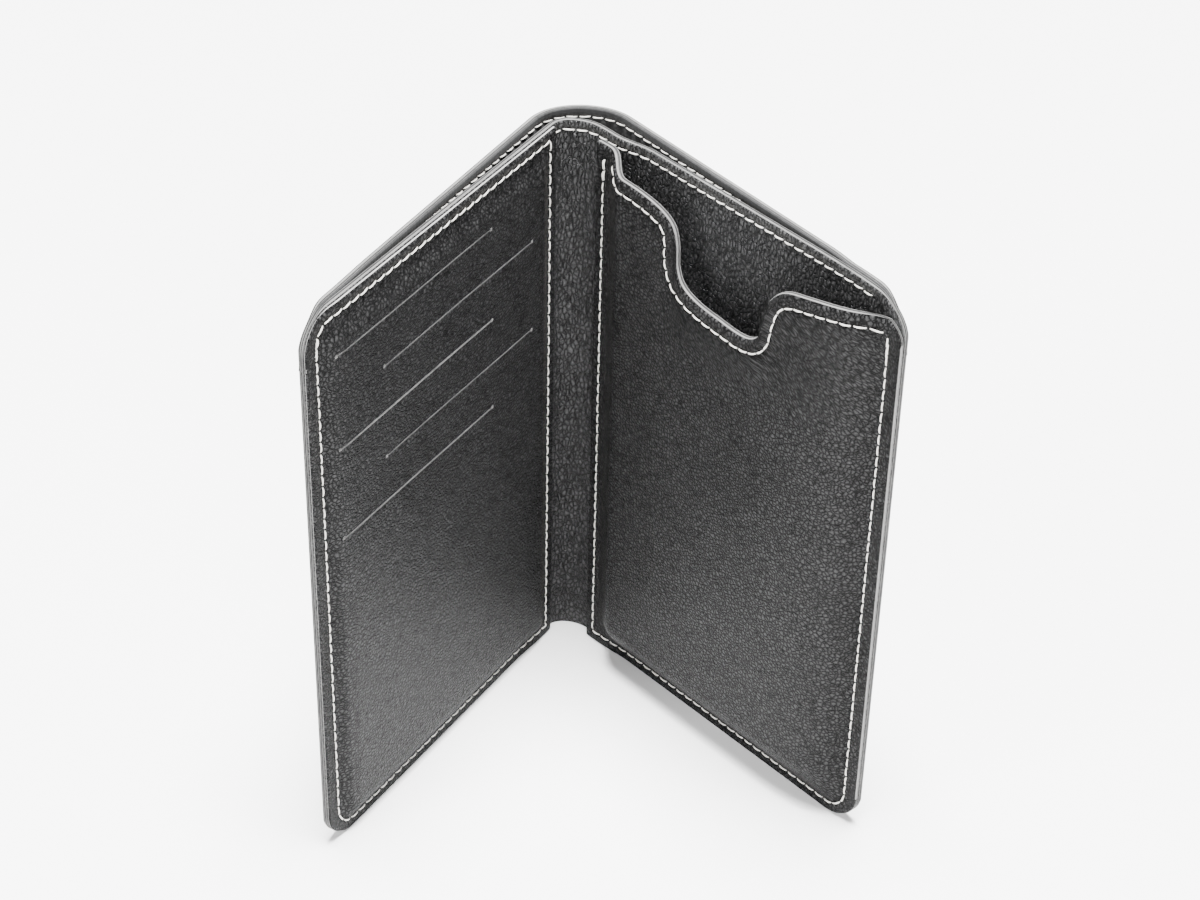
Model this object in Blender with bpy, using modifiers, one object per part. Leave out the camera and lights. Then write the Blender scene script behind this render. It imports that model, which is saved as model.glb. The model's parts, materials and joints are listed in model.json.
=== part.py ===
"""Leather phone wallet case, standing open: a phone pocket leaf and a card leaf on a soft spine.

Each leaf is modelled in its own frame. Its empty stands on the fold line, local X runs
outwards along the leaf, Z is up, and "depth" is the distance from the inner sheet's middle
plane, positive towards the outside of the wallet. The fold lines are the two joint axes.
"""
import bpy
import bmesh
from math import acos, asin, atan2, cos, hypot, pi, radians, sin
from mathutils import Vector

MM = 0.001

# Driving dimensions, in millimetres and degrees
HEIGHT = 150.5
LEAF_REACH = 93.3            # fold line to the leaf's free edge
CORNER_RADIUS = 9.0
CARD_LEAF_ANGLE = -75.0      # direction of the card leaf; the phone leaf lies along +X
SPINE_WIDTH = 11.65          # between the two fold lines
SPINE_ANGLE = 221.7          # from the phone leaf's fold line to the card leaf's
PHONE_SPACE = 7.4            # clear depth of the phone pocket
PANEL_START = 0.6            # the panels' edge beside the fold line
SHEET_START = 0.8            # where a leaf's share of the inner sheet begins
COVER_START = 0.2            # and its share of the cover
MIDDLE_STATION = 50.0        # a station on the flat of a leaf
CREASE_SEAM = 2.8            # fold line to the seam beside it
SEAM_INSET = 3.4             # free edge to the seam along it
BOTTOM_SEAM = 3.0
TOP_SEAM_DROP = 3.2          # top edge to the seam below it

LEATHER = 1.0
INNER_LEATHER = 0.8
LINING = 0.35
POCKET_STRIP = 0.14
GAP = 0.25                   # between two layers that touch
STRIP_GAP = 0.12
LINING_LIFT = 0.3            # linings end this far inside the leather's edges
THREAD = 0.4
THREAD_GAP = 0.2
SHORTEST_STEP = 0.05         # between two stations of a sheet
SLOPE_PROBE = 0.1            # half the step over which a sheet's slope is measured

# Depths of the layers' middle planes where all of them are sewn together
INNER_DEPTH = 0.0
POCKET_LINING_DEPTH = -(INNER_LEATHER + LINING) / 2 - GAP
POCKET_FRONT_DEPTH = POCKET_LINING_DEPTH - (LINING + LEATHER) / 2 - GAP
CARD_PANEL_DEPTH = -(INNER_LEATHER + LEATHER) / 2 - GAP
INNER_LINING_STEP = (INNER_LEATHER + LINING) / 2 + GAP
COVER_STEP = (LINING + LEATHER) / 2 + GAP
COVER_EDGE_DEPTH = INNER_LINING_STEP + LINING + GAP + COVER_STEP

# How far the layers stand apart over the phone and the cards
INNER_BULGE = 1.7
PHONE_CLEARANCE = 0.2
PHONE_SPACE_FRONT = INNER_BULGE - INNER_LEATHER / 2 - PHONE_CLEARANCE - PHONE_SPACE
POCKET_LINING_FLAT = PHONE_SPACE_FRONT - PHONE_CLEARANCE - LINING / 2
POCKET_FRONT_FLAT = POCKET_LINING_FLAT - (LINING + LEATHER) / 2 - GAP
STRIP_COUNT = 5
STRIP_PITCH = POCKET_STRIP + STRIP_GAP
CARD_PANEL_FLAT = -(INNER_LEATHER + LEATHER) / 2 - STRIP_COUNT * STRIP_PITCH - STRIP_GAP

# The cover's middle plane at the fold line and at the far side of the bill compartment
PHONE_COVER_AT_FOLD = 8.8
PHONE_COVER_AT_END = INNER_BULGE + INNER_LINING_STEP + LINING + GAP + COVER_STEP
CARD_COVER_AT_FOLD = 5.4
CARD_COVER_AT_END = COVER_EDGE_DEPTH + GAP
SPINE_FULLNESS = 0.86        # share of a circular arc that the inner sheet's turn follows

# Phone pocket: where its walls leave the crease and reach the outer seam
POCKET_RISE = (4.0, 15.0)
POCKET_FALL = (83.5, 88.8)
POCKET_FLOOR = (3.6, 9.0)
COVER_FLOOR = (3.6, 18.0)
FOOT_RUN = (3.0, 16.0)       # the cover's foot closes over this run beside the fold line
HEM_START = 1.0
PHONE_HEM_END = 42.0
CARD_HEM_END = 55.0

# Card slits: five staggered slits, each with a pocket strip behind it
SLIT_LENGTH = 57.2
SLIT_OPENING = 0.5
SLIT_TOP = 138.6
SLIT_PITCH = 12.3
SLIT_STARTS = (28.0, 11.8)
STRIP_MARGIN = 0.4
STRIP_RISE = 4.5
STRIP_DEPTH = 78.0
STRIP_CORNER = 0.5
CARD_RISE = (3.4, 7.2)
CARD_FALL = (85.8, 89.2)
CARD_FLOOR = (3.4, 7.0)
CARD_TOP = HEIGHT - TOP_SEAM_DROP - 1.0
CARD_CEILING = (CARD_TOP - 5.0, CARD_TOP)

# Phone pocket mouth, from the crease to the free edge, as (along the leaf, height)
MOUTH = (
    (7.5, 148.2), (11.5, 147.2), (21.0, 146.6), (27.5, 145.2), (31.0, 142.8), (32.4, 138.5),
    (32.6, 133.5), (34.4, 129.2), (38.7, 127.0), (46.0, 126.0), (54.5, 125.8), (58.4, 128.2),
    (59.7, 133.6), (61.6, 139.6), (65.4, 143.4), (71.0, 145.1), (79.0, 146.4), (86.5, 147.0),
)
MOUTH_SHOULDER = 148.2
MOUTH_END = 147.0
MOUTH_SEAM_INSET = 3.2
OUTER_CORNER = ((3.5, 0.8), (0.6, 4.0))   # the mouth's last points, in from the edge and down
BORDER_START = 4.0           # pocket seam below the mouth, beside the crease
BORDER_END = 8.0             # and at the free edge
CUTTER_MARGIN = 10.0         # cutters reach this far past the sheets
LONGEST_RUN = 3.0            # of thread, between two points

COLOURS = {
    "leather": (0.045, 0.045, 0.047, 0.55),
    "inner_leather": (0.035, 0.035, 0.037, 0.6),
    "lining": (0.09, 0.09, 0.092, 0.85),
    "pocket_cloth": (0.02, 0.02, 0.02, 0.9),
    "thread": (0.72, 0.71, 0.68, 0.7),
}


def clear_scene():
    for item in list(bpy.data.objects):
        bpy.data.objects.remove(item, do_unlink=True)
    for group in list(bpy.data.collections):
        bpy.data.collections.remove(group)


def collection(name):
    group = bpy.data.collections.new(name)
    bpy.context.scene.collection.children.link(group)
    return group


def material(name, kind):
    rgb, roughness = COLOURS[kind][:3], COLOURS[kind][3]
    mat = bpy.data.materials.new(name)
    mat.use_nodes = True
    shader = mat.node_tree.nodes["Principled BSDF"]
    shader.inputs["Base Color"].default_value = (*rgb, 1.0)
    shader.inputs["Roughness"].default_value = roughness
    shader.inputs["Metallic"].default_value = 0.0
    mat.diffuse_color = (*rgb, 1.0)
    return mat


def smoothstep(low, high, value):
    t = min(1.0, max(0.0, (value - low) / (high - low)))
    return t * t * (3 - 2 * t)


def spread(start, end, count):
    return [start + (end - start) * i / count for i in range(count + 1)]


def merged(*runs):
    """Join runs of stations into one rising list without near duplicates."""
    stations = []
    for value in sorted(v for run in runs for v in run):
        if not stations or value - stations[-1] > SHORTEST_STEP:
            stations.append(value)
    return stations


def add_object(name, mesh, kind, parent, group):
    obj = bpy.data.objects.new(name, mesh)
    obj.data.materials.append(material(name, kind))
    obj.parent = parent
    group.objects.link(obj)
    return obj


def solidify(obj, thickness):
    shell = obj.modifiers.new("thickness", "SOLIDIFY")
    shell.thickness = thickness * MM
    shell.offset = 0.0
    shell.use_even_offset = True
    return shell


def corner_height(x, end, low, high, radius, at_top):
    """Height of the bottom or top edge at x, with a rounded corner at the free edge."""
    inside = min(radius, max(0.0, x - (end - radius)))
    sag = radius - (radius * radius - inside * inside) ** 0.5
    return high - sag if at_top else low + sag


class Leaf:
    """A leaf's frame: its empty on the fold line and the side that faces outwards."""

    def __init__(self, name, location, angle, outward):
        self.empty = bpy.data.objects.new(name, None)
        self.empty.empty_display_size = 0.01
        self.empty.location = Vector(location) * MM
        self.empty.rotation_euler = (0.0, 0.0, radians(angle))
        self.outward = outward

    def point(self, x, depth, z):
        return Vector((x, self.outward * depth, z)) * MM


def leaf_sheet(name, leaf, kind, group, thickness, depth, start, end, low, high, xs, zs,
               radius=CORNER_RADIUS):
    """An upright sheet along a leaf: depth(x, z) is its middle surface."""
    corner = [end - radius + radius * sin(a) for a in spread(0.0, pi / 2, 6)]
    xs = merged([start], [x for x in xs if start < x < end - radius], corner)
    mesh = bpy.data.meshes.new(name)
    bm = bmesh.new()
    columns = []
    for x in xs:
        bottom = corner_height(x, end, low, high, radius, False)
        top = corner_height(x, end, low, high, radius, True)
        column = []
        for i, z in enumerate(zs):
            z = bottom if i == 0 else top if i == len(zs) - 1 else min(top, max(bottom, z))
            if i:
                z = max(z, column[-1][0] + SHORTEST_STEP / 2)
            column.append((z, bm.verts.new(leaf.point(x, depth(x, z), z))))
        columns.append([vert for _, vert in column])
    for left, right in zip(columns, columns[1:]):
        for i in range(len(zs) - 1):
            bm.faces.new((left[i], right[i], right[i + 1], left[i + 1]))
    bm.to_mesh(mesh)
    bm.free()
    obj = add_object(name, mesh, kind, leaf.empty, group)
    solidify(obj, thickness)
    return obj


def plan_sheet(name, points, kind, group, parent, thickness, low, high):
    """An upright sheet that follows a path in plan."""
    mesh = bpy.data.meshes.new(name)
    bm = bmesh.new()
    lower = [bm.verts.new(Vector((x, y, low)) * MM) for x, y in points]
    upper = [bm.verts.new(Vector((x, y, high)) * MM) for x, y in points]
    for i in range(len(points) - 1):
        bm.faces.new((lower[i], lower[i + 1], upper[i + 1], upper[i]))
    bm.to_mesh(mesh)
    bm.free()
    obj = add_object(name, mesh, kind, parent, group)
    solidify(obj, thickness)
    return obj


def thread(name, points, group, parent, closed=False):
    """One run of sewing thread, lying on the face that it is sewn into."""
    data = bpy.data.curves.new(name, "CURVE")
    data.dimensions = "3D"
    data.bevel_depth = THREAD / 2 * MM
    data.bevel_resolution = 1
    data.use_fill_caps = not closed
    spline = data.splines.new("POLY")
    spline.points.add(len(points) - 1)
    for slot, point in zip(spline.points, points):
        slot.co = (*point, 1.0)
    spline.use_cyclic_u = closed
    return add_object(name, data, "thread", parent, group)


def cutter(name, outline, smooth, reach, leaf, group):
    """A prism across the leaf; smooth says which outline points are rounded."""
    data = bpy.data.curves.new(name, "CURVE")
    data.dimensions = "2D"
    data.fill_mode = "BOTH"
    data.extrude = reach * MM
    data.resolution_u = 3
    spline = data.splines.new("BEZIER")
    spline.bezier_points.add(len(outline) - 1)
    for knot, (x, z), rounded in zip(spline.bezier_points, outline, smooth):
        knot.co = (x * MM, z * MM, 0.0)
        knot.handle_left_type = knot.handle_right_type = "AUTO" if rounded else "VECTOR"
    spline.use_cyclic_u = True
    curve = bpy.data.objects.new(name + "_outline", data)
    curve.parent = leaf.empty
    curve.rotation_euler = (pi / 2, 0.0, 0.0)
    group.objects.link(curve)
    bpy.context.view_layer.update()
    evaluated = curve.evaluated_get(bpy.context.evaluated_depsgraph_get())
    mesh = bpy.data.meshes.new_from_object(evaluated)
    bm = bmesh.new()
    bm.from_mesh(mesh)
    bmesh.ops.remove_doubles(bm, verts=bm.verts, dist=0.00001)
    bmesh.ops.recalc_face_normals(bm, faces=bm.faces)
    bm.to_mesh(mesh)
    bm.free()
    tool = bpy.data.objects.new(name, mesh)
    tool.matrix_world = curve.matrix_world
    group.objects.link(tool)
    bpy.data.objects.remove(curve, do_unlink=True)
    tool.hide_render = True
    tool.display_type = "WIRE"
    return tool


def cut(obj, tool):
    modifier = obj.modifiers.new("cut_" + tool.name, "BOOLEAN")
    modifier.operation = "DIFFERENCE"
    modifier.solver = "EXACT"
    modifier.object = tool


# Depth of each layer along the phone leaf

def pocket_shape(x, z):
    along = smoothstep(*POCKET_RISE, x) * (1 - smoothstep(*POCKET_FALL, x))
    return along * smoothstep(*POCKET_FLOOR, z)


def pocket_front_depth(x, z):
    return POCKET_FRONT_DEPTH + (POCKET_FRONT_FLAT - POCKET_FRONT_DEPTH) * pocket_shape(x, z)


def inner_phone_depth(x, z):
    return INNER_BULGE * pocket_shape(x, z)


def cover_depth(x, z, at_fold, at_end, behind):
    """The cover tapers towards the free edge, closes at its foot and clears what is behind it."""
    taper = min(1.0, x / POCKET_FALL[0])
    flat = at_fold + (at_end - at_fold) * taper
    joined = smoothstep(POCKET_FALL[0], POCKET_FALL[1], x)
    foot = (1 - smoothstep(*COVER_FLOOR, z)) * smoothstep(*FOOT_RUN, x)
    open_depth = flat + (COVER_EDGE_DEPTH - flat) * max(joined, foot)
    return max(open_depth, COVER_EDGE_DEPTH + behind)


def phone_cover_depth(x, z):
    behind = inner_phone_depth(x, z)
    return cover_depth(x, z, PHONE_COVER_AT_FOLD, PHONE_COVER_AT_END, behind)


def card_cover_depth(x, z):
    return cover_depth(x, z, CARD_COVER_AT_FOLD, CARD_COVER_AT_END, INNER_DEPTH)


def card_panel_depth(x, z):
    along = smoothstep(*CARD_RISE, x) * (1 - smoothstep(*CARD_FALL, x))
    upright = smoothstep(*CARD_FLOOR, z) * (1 - smoothstep(*CARD_CEILING, z))
    return CARD_PANEL_DEPTH + (CARD_PANEL_FLAT - CARD_PANEL_DEPTH) * along * upright


def steepness(depth, x, z):
    """How much longer a step along the depth is than the same step square to the sheet."""
    step = SLOPE_PROBE
    rise = hypot(depth(x + step, z) - depth(x - step, z), depth(x, z + step) - depth(x, z - step))
    return hypot(1.0, rise / (2 * step))


def shifted(depth, step):
    """A sheet parallel to another one, step away from it."""
    return lambda x, z: depth(x, z) + step * steepness(depth, x, z)


# The spine's paths in plan, in the frame of the phone leaf's fold line

def fold_of_card_leaf():
    angle = radians(SPINE_ANGLE)
    return Vector((SPINE_WIDTH * cos(angle), SPINE_WIDTH * sin(angle)))


def inner_spine_path(step, count=14):
    """A curve tangent to both leaves, offset outwards by step."""
    start = Vector((-SHEET_START, 0.0))
    towards = radians(CARD_LEAF_ANGLE)
    along = Vector((cos(towards), sin(towards)))
    end = fold_of_card_leaf() - along * SHEET_START
    turn = radians(180.0 + CARD_LEAF_ANGLE)
    arc_radius = SPINE_WIDTH / (2 * sin(turn / 2))
    handle = 4 / 3 * sin(turn / 4) / cos(turn / 4) * arc_radius * SPINE_FULLNESS
    knots = (start, start + Vector((-handle, 0.0)), end - along * handle, end)
    path = []
    for t in spread(0.0, 1.0, count):
        s = 1 - t
        weights = (s ** 3, 3 * s * s * t, 3 * s * t * t, t ** 3)
        slopes = (-3 * s * s, 3 * s * s - 6 * s * t, 6 * s * t - 3 * t * t, 3 * t * t)
        spot = sum((w * k for w, k in zip(weights, knots)), Vector((0.0, 0.0)))
        slope = sum((w * k for w, k in zip(slopes, knots)), Vector((0.0, 0.0))).normalized()
        path.append(spot + step * Vector((slope.y, -slope.x)))
    return path


def cover_spine_path(step, count=9):
    """Two arcs about the fold lines and the straight that touches both."""
    card_fold = fold_of_card_leaf()
    near = PHONE_COVER_AT_FOLD + step
    far = CARD_COVER_AT_FOLD + step
    back = -card_fold
    meeting = atan2(back.y, back.x) + acos((far - near) / back.length)
    last = radians(CARD_LEAF_ANGLE + 270.0)
    first_arc = spread(pi / 2 + asin(COVER_START / near), meeting, count)
    second_arc = spread(meeting, last - asin(COVER_START / far), count)
    path = [Vector((near * cos(a), near * sin(a))) for a in first_arc]
    path += [card_fold + Vector((far * cos(a), far * sin(a))) for a in second_arc]
    return path


def inset_line(line, inset):
    """Points of an open line moved to its right-hand side."""
    moved = []
    for i, (x, z) in enumerate(line):
        x0, z0 = line[max(0, i - 1)]
        x1, z1 = line[min(len(line) - 1, i + 1)]
        length = hypot(x1 - x0, z1 - z0)
        moved.append((x + inset * (z1 - z0) / length, z - inset * (x1 - x0) / length))
    return moved


def quarter(cx, cz, radius, start):
    return [(cx + radius * cos(a), cz + radius * sin(a))
            for a in spread(radians(start), radians(start + 90.0), 4)]


def divided(line, longest):
    """The same line with no run longer than the given length."""
    points = [line[0]]
    for (x0, z0), (x1, z1) in zip(line, line[1:]):
        count = int(hypot(x1 - x0, z1 - z0) / longest) + 1
        points += [(x0 + (x1 - x0) * i / count, z0 + (z1 - z0) * i / count)
                   for i in range(1, count + 1)]
    return points


def on_face(leaf, line, depth, thickness, side):
    """Thread points that lie just off a sheet's face, measured square to the sheet."""
    points = []
    for x, z in line:
        lift = side * (thickness / 2 + THREAD_GAP + THREAD / 2)
        points.append(leaf.point(x, depth(x, z) + lift * steepness(depth, x, z), z))
    return points


def make_phone_pocket(leaf, group, tools):
    """The pocket's leather front and its lining, with the mouth cut in both."""
    xs = merged(spread(*POCKET_RISE, 6), spread(*POCKET_FALL, 5), (MIDDLE_STATION,))
    zs = merged((0.0,), spread(*POCKET_FLOOR, 4), (HEIGHT - CORNER_RADIUS, HEIGHT))
    top = HEIGHT + CUTTER_MARGIN
    corner = [(LEAF_REACH - inset, MOUTH_END - drop) for inset, drop in OUTER_CORNER]
    outline = [(-CUTTER_MARGIN, top), (-CUTTER_MARGIN, MOUTH_SHOULDER), *MOUTH, *corner,
               (LEAF_REACH + CUTTER_MARGIN, corner[-1][1]), (LEAF_REACH + CUTTER_MARGIN, top)]
    rounded = [False, False] + [True] * (len(MOUTH) + 1) + [False, False, False]
    mouth = cutter("mouth_cutter", outline, rounded, CUTTER_MARGIN, leaf, tools)
    front = leaf_sheet("phone_pocket_front", leaf, "leather", group, LEATHER, pocket_front_depth,
                       PANEL_START, LEAF_REACH, 0.0, HEIGHT, xs, zs)
    lining = leaf_sheet("phone_pocket_lining", leaf, "lining", group, LINING,
                        shifted(pocket_front_depth, COVER_STEP), PANEL_START + LINING_LIFT,
                        LEAF_REACH - LINING_LIFT, LINING_LIFT, HEIGHT, xs, zs)
    cut(front, mouth)
    cut(lining, mouth)

    outer = LEAF_REACH - SEAM_INSET
    turn = CORNER_RADIUS - SEAM_INSET
    border = [(CREASE_SEAM, MOUTH_SHOULDER - BORDER_START), (CREASE_SEAM, BOTTOM_SEAM)]
    border += quarter(outer - turn, BOTTOM_SEAM + turn, turn, 270.0)
    border += [(outer, MOUTH_END - BORDER_END)]
    thread("phone_pocket_seam", on_face(leaf, border, pocket_front_depth, LEATHER, -1),
           group, leaf.empty)
    mouth_seam = divided(inset_line(MOUTH, MOUTH_SEAM_INSET), LONGEST_RUN)
    thread("phone_mouth_seam", on_face(leaf, mouth_seam, pocket_front_depth, LEATHER, -1),
           group, leaf.empty)


def make_inner_phone_side(leaf, group):
    """The inner sheet behind the phone, its lining, and the hem along its top."""
    xs = merged(spread(*POCKET_RISE, 6), spread(*POCKET_FALL, 5), (MIDDLE_STATION,))
    zs = merged((0.0,), spread(*POCKET_FLOOR, 4), (HEIGHT - CORNER_RADIUS, HEIGHT))
    leaf_sheet("inner_sheet_phone_side", leaf, "inner_leather", group, INNER_LEATHER,
               inner_phone_depth, SHEET_START, LEAF_REACH, 0.0, HEIGHT, xs, zs)
    leaf_sheet("inner_lining_phone_side", leaf, "lining", group, LINING,
               shifted(inner_phone_depth, INNER_LINING_STEP), SHEET_START + LINING_LIFT,
               LEAF_REACH - LINING_LIFT, LINING_LIFT, HEIGHT - LINING_LIFT, xs, zs)
    hem_height = HEIGHT - TOP_SEAM_DROP
    line = [(x, hem_height) for x in spread(POCKET_RISE[1], POCKET_FALL[0] - HEM_START, 6)]
    thread("inner_hem_phone_side", on_face(leaf, line, inner_phone_depth, INNER_LEATHER, -1),
           group, leaf.empty)


def make_cover_side(leaf, group, side, depth, hem_end):
    """A leaf's share of the outer cover, its lining, and the hem along its top."""
    xs = merged((POCKET_RISE[0] / 2,), spread(*POCKET_RISE, 6), spread(*POCKET_FALL, 5),
                (MIDDLE_STATION,))
    zs = merged((0.0,), spread(*POCKET_FLOOR, 4), spread(POCKET_FLOOR[1], COVER_FLOOR[1], 3),
                (HEIGHT - CORNER_RADIUS, HEIGHT))
    leaf_sheet("cover_" + side, leaf, "leather", group, LEATHER, depth,
               COVER_START, LEAF_REACH, 0.0, HEIGHT, xs, zs)
    lining_depth = shifted(depth, -COVER_STEP)
    leaf_sheet("cover_lining_" + side, leaf, "lining", group, LINING, lining_depth,
               COVER_START + LINING_LIFT, LEAF_REACH - LINING_LIFT, LINING_LIFT,
               HEIGHT - LINING_LIFT, xs, zs)
    line = [(x, HEIGHT - TOP_SEAM_DROP) for x in spread(HEM_START, hem_end, 4)]
    thread("cover_hem_" + side, on_face(leaf, line, lining_depth, LINING, -1),
           group, leaf.empty)


def make_card_panel(leaf, group, tools):
    """The slit panel, the pocket strips behind it, and the seam around it."""
    xs = merged(spread(*CARD_RISE, 4), spread(*CARD_FALL, 4), (MIDDLE_STATION,))
    zs = merged((0.0,), spread(*CARD_FLOOR, 3), spread(*CARD_CEILING, 3), (HEIGHT,))
    panel = leaf_sheet("card_panel", leaf, "leather", group, LEATHER, card_panel_depth,
                       PANEL_START, LEAF_REACH, 0.0, HEIGHT, xs, zs)
    for row in range(STRIP_COUNT):
        start = SLIT_STARTS[row % 2]
        height = SLIT_TOP - row * SLIT_PITCH
        half = SLIT_OPENING / 2
        outline = [(start, height - half), (start, height + half),
                   (start + SLIT_LENGTH, height + half), (start + SLIT_LENGTH, height - half)]
        tool = cutter("slit_cutter_%d" % (row + 1), outline, [False] * 4, CUTTER_MARGIN,
                      leaf, tools)
        cut(panel, tool)
        depth = -(INNER_LEATHER + POCKET_STRIP) / 2 - STRIP_GAP - row * STRIP_PITCH
        floor = max(CARD_FLOOR[1] + STRIP_MARGIN, height - STRIP_DEPTH)
        leaf_sheet("card_pocket_%d" % (row + 1), leaf, "pocket_cloth", group, POCKET_STRIP,
                   lambda x, z, d=depth: d, start - STRIP_MARGIN,
                   start + SLIT_LENGTH + STRIP_MARGIN, floor, height + STRIP_RISE,
                   (MIDDLE_STATION,), (floor, height), radius=STRIP_CORNER)

    outer = LEAF_REACH - SEAM_INSET
    turn = CORNER_RADIUS - SEAM_INSET
    top = HEIGHT - TOP_SEAM_DROP
    border = [(CREASE_SEAM, top), (CREASE_SEAM, BOTTOM_SEAM)]
    border += quarter(outer - turn, BOTTOM_SEAM + turn, turn, 270.0)
    border += quarter(outer - turn, top - turn, turn, 0.0)
    thread("card_panel_seam", on_face(leaf, border, lambda x, z: CARD_PANEL_DEPTH, LEATHER, -1),
           group, leaf.empty, closed=True)


def make_inner_card_side(leaf, group):
    leaf_sheet("inner_sheet_card_side", leaf, "inner_leather", group, INNER_LEATHER,
               lambda x, z: INNER_DEPTH, SHEET_START, LEAF_REACH, 0.0, HEIGHT,
               (MIDDLE_STATION,), (0.0, HEIGHT / 2, HEIGHT))
    leaf_sheet("inner_lining_card_side", leaf, "lining", group, LINING,
               lambda x, z: INNER_LINING_STEP, SHEET_START + LINING_LIFT,
               LEAF_REACH - LINING_LIFT, LINING_LIFT, HEIGHT - LINING_LIFT,
               (MIDDLE_STATION,), (0.0, HEIGHT / 2, HEIGHT))


def make_spine(root, group):
    """The bending strip between the fold lines: cover, inner sheet, linings and hems."""
    plan_sheet("spine_cover", cover_spine_path(0.0), "leather", group, root, LEATHER,
               0.0, HEIGHT)
    plan_sheet("spine_cover_lining", cover_spine_path(-COVER_STEP), "lining", group, root,
               LINING, LINING_LIFT, HEIGHT - LINING_LIFT)
    plan_sheet("spine_inner_sheet", inner_spine_path(0.0), "inner_leather", group, root,
               INNER_LEATHER, 0.0, HEIGHT)
    plan_sheet("spine_inner_lining", inner_spine_path(INNER_LINING_STEP), "lining", group,
               root, LINING, LINING_LIFT, HEIGHT - LINING_LIFT)
    height = HEIGHT - TOP_SEAM_DROP
    inner_step = -(INNER_LEATHER / 2 + THREAD_GAP + THREAD / 2)
    cover_step = -COVER_STEP - LINING / 2 - THREAD_GAP - THREAD / 2
    inner_hem = [Vector((x, y, height)) * MM for x, y in inner_spine_path(inner_step)]
    cover_hem = [Vector((x, y, height)) * MM for x, y in cover_spine_path(cover_step)]
    thread("spine_inner_hem", inner_hem, group, root)
    thread("spine_cover_hem", cover_hem, group, root)


def stand_on_origin(root, group):
    """Put the middle of the footprint on the origin."""
    bpy.context.view_layer.update()
    depsgraph = bpy.context.evaluated_depsgraph_get()
    corners = []
    for obj in group.objects:
        evaluated = obj.evaluated_get(depsgraph)
        mesh = evaluated.to_mesh()
        corners += [evaluated.matrix_world @ vert.co for vert in mesh.vertices]
        evaluated.to_mesh_clear()
    middle_x = (min(c.x for c in corners) + max(c.x for c in corners)) / 2
    middle_y = (min(c.y for c in corners) + max(c.y for c in corners)) / 2
    root.location = (-middle_x, -middle_y, 0.0)
    bpy.context.view_layer.update()


def main():
    clear_scene()
    case = collection("phone_wallet_case")
    tools = collection("cutters")
    root = bpy.data.objects.new("spine_frame", None)
    root.empty_display_size = 0.01
    bpy.context.scene.collection.objects.link(root)

    card_fold = fold_of_card_leaf()
    phone_leaf = Leaf("phone_leaf_axis", (0.0, 0.0, 0.0), 0.0, 1)
    card_leaf = Leaf("card_leaf_axis", (card_fold.x, card_fold.y, 0.0), CARD_LEAF_ANGLE, -1)
    for leaf in (phone_leaf, card_leaf):
        leaf.empty.parent = root
        bpy.context.scene.collection.objects.link(leaf.empty)
    bpy.context.view_layer.update()

    make_spine(root, case)
    make_inner_phone_side(phone_leaf, case)
    make_phone_pocket(phone_leaf, case, tools)
    make_cover_side(phone_leaf, case, "phone_side", phone_cover_depth, PHONE_HEM_END)
    make_inner_card_side(card_leaf, case)
    make_card_panel(card_leaf, case, tools)
    make_cover_side(card_leaf, case, "card_side", card_cover_depth, CARD_HEM_END)
    stand_on_origin(root, case)
    for tool in tools.objects:
        tool.matrix_world = root.matrix_world @ tool.matrix_world


main()
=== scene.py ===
"""Looks of the leather phone wallet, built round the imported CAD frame.

Lengths are in millimetres until a mesh is made. Each leaf has its own coordinates: u runs from
the fold line to the free edge, z is height, and depth is measured from the inner sheet's middle
plane, positive towards the outside. A negative u is arc length round the spine.
"""
import json
import math

import bpy
import numpy as np
from mathutils import Matrix, Vector


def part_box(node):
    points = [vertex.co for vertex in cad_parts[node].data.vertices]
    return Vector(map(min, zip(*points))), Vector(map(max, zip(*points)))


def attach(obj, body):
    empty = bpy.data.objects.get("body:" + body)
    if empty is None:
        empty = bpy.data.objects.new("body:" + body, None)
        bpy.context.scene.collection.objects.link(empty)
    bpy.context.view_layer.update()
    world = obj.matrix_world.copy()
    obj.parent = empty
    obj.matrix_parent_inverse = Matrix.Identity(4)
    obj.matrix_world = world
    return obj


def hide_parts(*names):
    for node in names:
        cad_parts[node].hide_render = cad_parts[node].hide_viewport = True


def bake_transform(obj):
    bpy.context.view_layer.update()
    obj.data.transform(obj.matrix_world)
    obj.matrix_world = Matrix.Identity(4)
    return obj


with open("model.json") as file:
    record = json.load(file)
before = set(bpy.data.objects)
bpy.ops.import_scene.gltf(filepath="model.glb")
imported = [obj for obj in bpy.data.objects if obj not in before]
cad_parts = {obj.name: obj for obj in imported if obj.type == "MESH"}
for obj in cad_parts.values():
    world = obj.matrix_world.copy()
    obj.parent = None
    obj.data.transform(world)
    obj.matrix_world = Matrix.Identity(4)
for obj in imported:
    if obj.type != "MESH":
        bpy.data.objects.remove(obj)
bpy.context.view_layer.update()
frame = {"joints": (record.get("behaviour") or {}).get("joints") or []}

MM = 0.001
rng = np.random.default_rng(11)

# Sizes read from the frame
FOLDS = {j["name"]: np.array(j["pos_m"][:2]) / MM for j in frame["joints"]}
PHONE_FOLD, CARD_FOLD = FOLDS["phone_leaf_fold"], FOLDS["card_leaf_fold"]
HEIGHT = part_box("card_panel")[1].z / MM
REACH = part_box("phone_pocket_front")[1].x / MM - PHONE_FOLD[0]
CARD_ANGLE = math.radians(-75.0)
CORNER = 9.0

# Thickness of each layer, and its middle plane where everything is sewn together
PANEL, POCKET_LINING, INNER, CLOTH, COVER = 1.0, 0.55, 0.95, 0.5, 1.15
FRONT_DEPTH, FRONT_LINING_DEPTH, PANEL_DEPTH = -1.75, -0.82, -1.05
INNER_LINING_STEP, COVER_STEP, COVER_EDGE = 0.825, 0.925, 2.35
PANEL_START = 0.6
POCKET_FRONT = 1.25          # the pocket front is the thickest leather

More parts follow.
